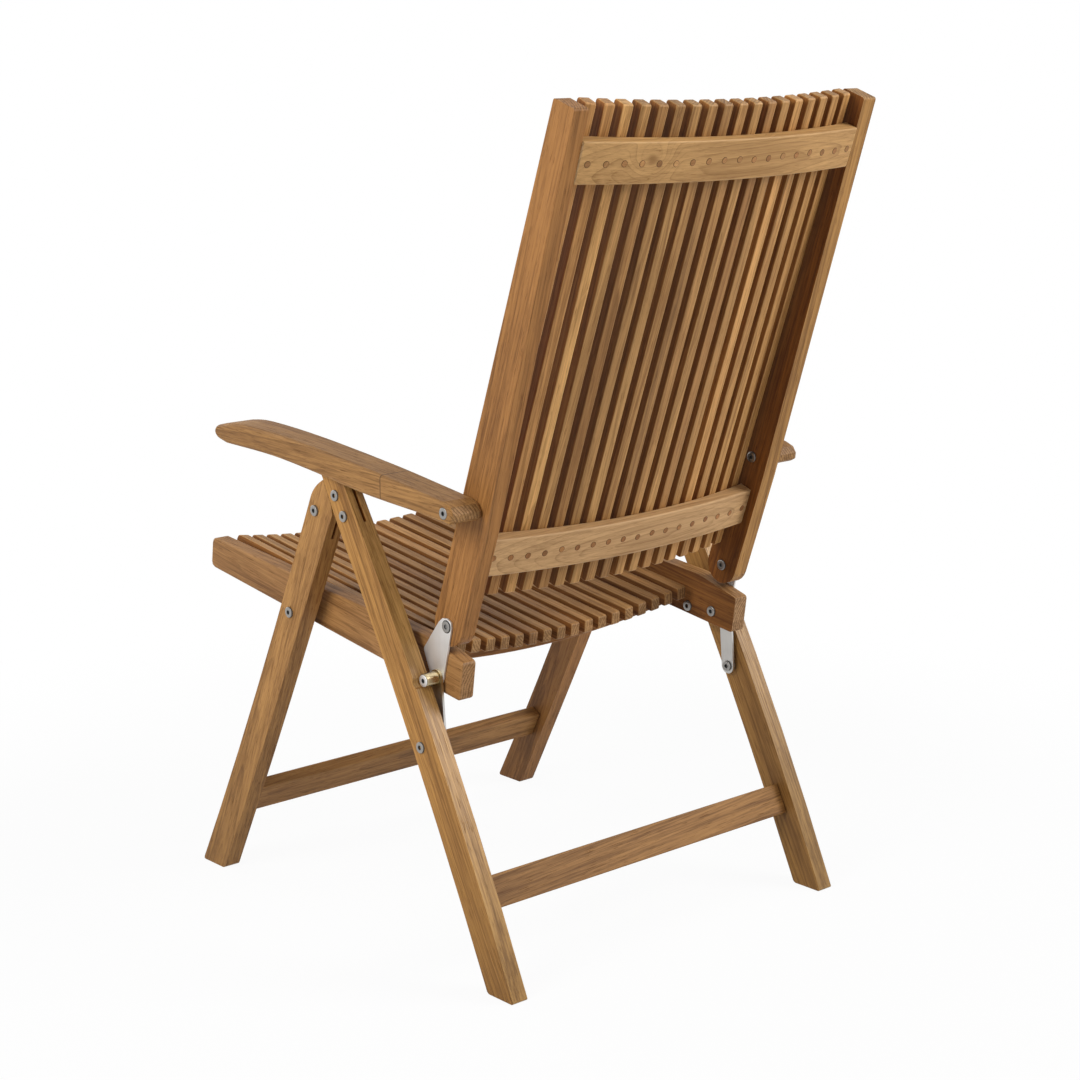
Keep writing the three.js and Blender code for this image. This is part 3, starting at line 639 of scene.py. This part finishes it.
# Seat pivots: a long bolt through each front leg and seat rail, with a round spacer between
# them, and a second bolt whose head shows inside the rail behind it.
seat_pivot = (-0.1437, 0.4108)
seat_bolt_radius = 0.0045
spacer_radius = 0.009
spacer_rim = 0.0005
rail_bolt_on_rail = (0.2264, -0.0084)
rail_bolt = (seat_pivot[0] + rail_bolt_on_rail[0] * seat_run[1] + rail_bolt_on_rail[1] * seat_up[1],
             seat_pivot[1] + rail_bolt_on_rail[0] * seat_run[2] + rail_bolt_on_rail[1] * seat_up[2])
for side, sign in sides.items():
    bolt("seat_pivot_bolt_" + side, sign, seat_pivot,
         [(leg_planes[1] + running_gap, 1, head_height), (rail_planes[0], -1, head_height)],
         (rail_planes[1] - running_gap, leg_planes[1] + running_gap), "seat",
         "seat_rail_" + side, bolt_steel, seat_bolt_radius)
    spacer = bmesh.new()
    add_rod(spacer, seat_pivot, (sign * rail_planes[1], sign * (leg_planes[0] - running_gap)),
            spacer_radius, rim=spacer_rim)
    finished(spacer, "seat_pivot_spacer_" + side, "seat", bolt_steel, ["seat_rail_" + side])
    bolt("rail_bolt_" + side, sign, rail_bolt, [(rail_planes[0], -1, head_height)], None,
         "seat", "seat_rail_" + side, bolt_steel)

# Seat bearers: two curved bars under the slats, bandsawn from thick board, so that the
# growth rings run out in long ovals along them.
cross_teak = teak("teak_cross_rails", ring_width=0.0040, ring_depth=0.62, band_depth=0.3,
                  streak_depth=0.36, ring_fade=7.0, pore_depth=0.26,
                  knots=[((0.127, 0.3734, 1.0166), 0.036), ((-0.05, 0.3838, 1.046), 0.022)])
bearer_tint = (140, 94, 46)
for bearer in ("seat_bearer_front", "seat_bearer_rear"):
    bar = merged_copy(bearer)
    ease(bar, bar_ease, nearer_than(rail_planes[0] - 0.0001))
    piece = finished(bar, bearer + "_bar", "seat", cross_teak, [bearer])
    give_grain(piece, bearer_tint, (1, 0, 0), seat_up, (0.012, 0.03), (0.01, 0.02))

# Seat slats: eighteen narrow strips on the bearers, rounded over at the front, each sawn
# from a different stick, so that no two are of the same brown.
slat_teak = teak("teak_slats", ring_width=0.0040, ring_depth=0.45, band_depth=0.6,
                 streak_depth=0.65)
slat_count = 18
slat_ease = 0.0016
seat_slat_tint = (153, 113, 66)


def varied(tint, spread):
    """A tint made lighter or darker, and redder or yellower, by chance."""
    lighter = seeds.uniform(-spread, spread)
    redder = seeds.uniform(-0.08, 0.12) * spread - lighter * 0.12
    return (tint[0] * (1 + lighter + redder), tint[1] * (1 + lighter - redder * 0.5),
            tint[2] * (1 + lighter * 1.1 - redder * 1.2))


def beside_a_gap(face):
    """How much painted shade a face of a slat gets where it is turned to the next slat."""
    return 0.85 if abs(face.normal.x) > 0.9 else 0.0


for index in range(1, slat_count + 1):
    node = f"seat_slat_{index:02d}"
    strip = merged_copy(node)
    ease(strip, slat_ease, shortest=0.001)
    slat = finished(strip, f"seat_slat_strip_{index:02d}", "seat", slat_teak, [node])
    pith = (seeds.uniform(-0.05, 0.05), seeds.uniform(0.03, 0.09))
    give_grain(slat, varied(seat_slat_tint, 0.11), seat_run, seat_up, pith,
               (seeds.uniform(-0.03, 0.03), seeds.uniform(-0.02, 0.02)), beside_a_gap)

# Stiles of the back: long boards, round at the foot and tapered behind, with mortises for
# the two curved rails between them.
back_lean = math.radians(19.43)
back_run = (0, math.sin(back_lean), math.cos(back_lean))
back_rear = (0, math.cos(back_lean), -math.sin(back_lean))
stile_ease = 0.003
stile_end_height = 1.05
stile_tints = {"left": (148, 102, 53), "right": (160, 118, 65)}
for side in sides:
    plank = merged_copy("back_stile_" + side)
    ease(plank, stile_ease, lambda edge: on_a_face(rail_planes)(edge) or min(
        v.co.z for v in edge.verts) > stile_end_height, segments=4)
    stile = finished(plank, "back_stile_board_" + side, "backrest", frame_teak,
                     ["back_stile_" + side])
    # The stile's inner face gets painted shade.
    give_grain(stile, stile_tints[side], back_run, back_rear, (0.03, 0.04), (0.02, 0.03),
               lambda face: float(face.normal.x * sides[side] < -0.9))

# Brackets, lock pins and straps: a plate bolted to each seat rail holds the stile's bolt in
# its upper eye. A brass-coloured tube on the lock pin drops into the notch of the rear leg,
# and a flat strap ties the pin to a bolt lower in that leg.
bracket_planes = (0.2545, 0.2575)
strap_planes = (0.2578, 0.2608)
lock_pin = (0.1260, 0.3720)
strap_foot = (0.1324, 0.2892)
back_pivot = (0.1448, 0.4414)
tube_radius = 0.009
tube_end = 0.280
tube_wall = 0.0009
tube_mouth_depth = 0.0016
tube_rim = 0.0006
pin_radius = 0.005
pin_head_radius = tube_radius - 0.0012
pin_head_sunk = 0.0014
pivot_head_height = 0.0012
# Rise and margin of a black disc of painted shade round the stile bolt's outer head.
shade_disc_rise = 0.0002
shade_disc_margin = 0.0011
washer_radius = 0.008
yellowed = (0.50, 0.41, 0.25)
tube_brass = steel("lock_tube_brass", yellowed, 0.27, brushed=(30.0, 160.0, 160.0), scratch=0.08)
strap_steel = steel("strap_steel", (0.62, 0.61, 0.59), 0.36, stained=(yellowed, 0.340, 0.366))
strap_half_width = 0.011


def beside_bracket(face):
    """True for a face of the bolt that the CAD fuses to a bracket."""
    middle = sum(abs(v.co.x) for v in face.verts) / len(face.verts)
    return not bracket_planes[0] - hair / 5 < middle < bracket_planes[1] + hair / 5


strap_run = (Vector(lock_pin) - Vector(strap_foot)).normalized() * strap_half_width
strap_side = Vector((strap_run.y, -strap_run.x))
strap_corners = [Vector(strap_foot) - strap_run + strap_side, Vector(strap_foot) - strap_run - strap_side,
                 Vector(lock_pin) + strap_run - strap_side, Vector(lock_pin) + strap_run + strap_side]
inner = rail_planes[0] - running_gap
tube_start = strap_planes[1] + running_gap
strap_inner = strap_planes[0] - running_gap
low_head = bracket_planes[1] + running_gap
for side, sign in sides.items():
    plate = merged_copy("bracket_" + side, beside_bracket)
    ease(plate, plate_ease, shortest=0.0005, segments=2)
    finished(plate, "bracket_plate_" + side, "seat", plate_steel, ["bracket_" + side])
    bolt("bracket_bolt_" + side, sign, lock_pin, [(inner, -1, head_height)],
         (inner, bracket_planes[1]), "seat", "bracket_" + side, bolt_steel)
    finished(cut_plate(strap_corners, strap_planes, sign, strap_half_width - 1e-5, 10),
             "strap_plate_" + side, "strap_" + side, strap_steel, ["strap_" + side])
    tube = bmesh.new()
    add_rod(tube, lock_pin, (sign * tube_start, sign * tube_end), tube_radius, rim=tube_rim, around=32)
    mouth = max(tube.faces, key=lambda face: abs(face.calc_center_median().x))
    bmesh.ops.inset_region(tube, faces=[mouth], thickness=tube_wall)
    bmesh.ops.inset_region(tube, faces=[mouth], thickness=0.0001, depth=-tube_mouth_depth)
    finished(tube, "lock_tube_" + side, "strap_" + side, tube_brass, ["strap_" + side])
    bolt("lock_pin_" + side, sign, lock_pin, [(tube_end - pin_head_sunk, 1, head_height)],
         (strap_planes[1] - running_gap, tube_start + running_gap), "strap_" + side, "strap_" + side,
         plate_steel, pin_radius, pin_head_radius)
    bolt("strap_bolt_" + side, sign, strap_foot,
         [(leg_planes[1], 1, head_height), (strap_inner, -1, head_height)],
         (strap_inner, leg_planes[0]), "rear_frame", "rear_leg_" + side, bolt_steel)
    washer = bmesh.new()
    add_rod(washer, strap_foot, (sign * tube_start, sign * leg_planes[0]), washer_radius, rim=spacer_rim)
    finished(washer, "strap_washer_" + side, "rear_frame", bolt_steel, ["rear_leg_" + side])
    # A thin black disc round the stile bolt's outer head is painted shade in the bracket's eye.
    shade_disc = bmesh.new()
    add_rod(shade_disc, back_pivot, (sign * bracket_planes[1], sign * (bracket_planes[1] + shade_disc_rise)),
            head_radius + shade_disc_margin)
    shade_layer = shade_disc.verts.layers.float.new("painted_shade")
    for v in shade_disc.verts:
        v[shade_layer] = 1.0
    finished(shade_disc, "bracket_shade_disc_" + side, "seat", bolt_steel, ["bracket_" + side])
    bolt("stile_pivot_bolt_" + side, sign, back_pivot,
         [(inner, -1, head_height), (low_head, 1, pivot_head_height)], (inner, low_head), "backrest",
         "stile_bolt_" + side, bolt_steel)

# Rails of the back: pale flat-sawn boards with a strong figure, curved to the sitter's back.
# Each slat is held by a screw from behind, whose hole is closed by a plug of other teak.
back_rail_ease = 0.0022
back_rail_tints = {"back_rail_low": (186, 149, 104), "back_rail_top": (183, 143, 91)}
for node, tint in back_rail_tints.items():
    bar = merged_copy(node)
    ease(bar, back_rail_ease, nearer_than(rail_planes[0] - 0.0001))
    rail = finished(bar, node + "_bar", "backrest", cross_teak, [node])
    give_grain(rail, tint, (1, 0, 0), back_run, (0.008, 0.05), (0.03, 0.03))

rail_middles = {"back_rail_low": 0.0990, "back_rail_top": 0.6145}
front_sag, rear_sag = 0.0225, 0.0160
front_at_stile, rear_at_stile = -0.0075, 0.0130
plug_pitch = 0.02544
plug_radius = 0.0038
plug_gap = 0.00045
plug_rise = 0.00025
plug_sunk = 0.001
plug_tints = {"back_rail_low": (146, 100, 58), "back_rail_top": (164, 120, 74)}
plug_gap_tint = (70, 42, 22)


def arc(half, sag, at_end):
    """Radius and centre of an arc that bulges to the rear between the stiles."""
    radius = (half * half + sag * sag) / (2 * sag)
    return radius, at_end + sag - radius


front_radius, front_centre = arc(rail_planes[0], front_sag, front_at_stile)
rear_radius, rear_centre = arc(rail_planes[0], rear_sag, rear_at_stile)
for node, height in rail_middles.items():
    plugs = bmesh.new()
    grain_of = plugs.verts.layers.float_vector.new("grain")
    tint_of = plugs.verts.layers.float_color.new("tint")
    for index in range(slat_count):
        turn = math.asin(plug_pitch * (index - (slat_count - 1) / 2) / front_radius)
        apart = front_centre - rear_centre
        reach = math.sqrt(rear_radius ** 2 - (apart * math.sin(turn)) ** 2) - apart * math.cos(turn)
        x, depth = reach * math.sin(turn), front_centre + reach * math.cos(turn)
        up = height + seeds.uniform(-0.0014, 0.0014)
        outward = Vector((x, 0, 0)) + (depth - rear_centre) * Vector(back_rear)
        spot = Vector((x, *back_pivot)) + depth * Vector(back_rear) + up * Vector(back_run)
        placed = Matrix.Translation(spot) @ outward.to_track_quat("Z", "Y").to_matrix().to_4x4()
        loose = Matrix.Translation((0, 0, -plug_sunk))
        earlier = set(plugs.verts)
        circle = bmesh.ops.create_circle(plugs, cap_ends=True, segments=20, matrix=placed @ loose,
                                         radius=plug_radius + plug_gap)["verts"]
        raised = bmesh.ops.extrude_face_region(plugs, geom=list(circle[0].link_faces))["geom"]
        top = [part for part in raised if isinstance(part, bmesh.types.BMFace)]
        bmesh.ops.translate(plugs, verts=list(top[0].verts),
                            vec=outward.normalized() * (plug_sunk + plug_rise * 0.3))
        bmesh.ops.inset_region(plugs, faces=top, thickness=plug_gap)
        bmesh.ops.inset_region(plugs, faces=top, thickness=0.0001, depth=plug_rise)
        shade = varied(plug_tints[node], 0.16)
        start, pith = seeds.uniform(2, 40), seeds.uniform(0.02, 0.06)
        across = Matrix.Rotation(seeds.uniform(0, math.pi), 4, "Z") @ placed.inverted()
        lid = set(top[0].verts)
        for v in set(plugs.verts) - earlier:
            place = across @ v.co
            v[grain_of] = (start + place.x, pith + place.y, 0.03 + place.z)
            v[tint_of] = (*colour(*(shade if v in lid else plug_gap_tint)), 1.0)
    bmesh.ops.recalc_face_normals(plugs, faces=plugs.faces[:])
    finished(plugs, node + "_plugs", "backrest", cross_teak, (), smooth_under=20)

# Back slats: eighteen strips in front of the rails, square in section, with eased edges.
# The outer ones are paler than the middle ones.
back_slat_tint = (180, 136, 82)
for index in range(1, slat_count + 1):
    node = f"back_slat_{index:02d}"
    strip = merged_copy(node)
    ease(strip, slat_ease, shortest=0.001)
    slat = finished(strip, f"back_slat_strip_{index:02d}", "backrest", slat_teak, [node])
    pith = (seeds.uniform(-0.05, 0.05), seeds.uniform(0.03, 0.09))
    paler = 0.90 + 0.18 * abs(index - (slat_count + 1) / 2) / (slat_count / 2)
    tint = [part * paler for part in varied(back_slat_tint, 0.10)]
    give_grain(slat, tint, back_run, (1, 0, 0), pith,
               (seeds.uniform(-0.03, 0.03), seeds.uniform(-0.02, 0.02)), beside_a_gap)

# Armrests: bowed planks with a bullnose tip, glued up from two boards, whose joint shows as
# a thin dark line a hand's breadth in front of the bolt.
arm_joint = 0.076
nose_reach = 0.012
nose_radius = 0.0034
nose_passes = 3
arm_ease = 0.0016
arm_teak = teak("teak_arms", joint=arm_joint)
arm_tint = (150, 110, 62)
for side in sides:
    plank = merged_copy("armrest_" + side)
    tip = min(v.co.y for v in plank.verts)
    nose = [edge for edge in plank.edges if max(v.co.y for v in edge.verts) < tip + nose_reach
            and abs(edge.verts[0].co.x - edge.verts[1].co.x) > hair]
    bmesh.ops.bevel(plank, geom=nose, offset=nose_radius, segments=4, profile=0.5, affect="EDGES",
                    clamp_overlap=True, material=-1)
    for sanding in range(nose_passes):
        bmesh.ops.smooth_vert(plank, factor=0.5, use_axis_y=True, use_axis_z=True,
                              verts=[v for v in plank.verts if v.co.y < tip + nose_reach])
    ease(plank, arm_ease, lambda edge: edge.calc_length() > 0.006, sharper_than=9, segments=2)
    arm = finished(plank, "armrest_board_" + side, "armrest_" + side, arm_teak,
                   ["armrest_" + side], smooth_under=40)
    give_grain(arm, arm_tint, (0, -1, 0.06), (0, 0, 1), (0.02, 0.06), (0.02, 0.04))

# Arm bolts: each goes through an armrest, in a shallow counterbore, and through its stile,
# and has one flat round head outside the arm and another inside the stile.
arm_pivot = (0.1986, 0.59993)
arm_head = 0.3014
for side, sign in sides.items():
    bolt("arm_pivot_bolt_" + side, sign, arm_pivot,
         [(arm_head, 1, head_height), (inner, -1, head_height)], (inner, arm_head),
         "armrest_" + side, "arm_bolt_" + side, bolt_steel)
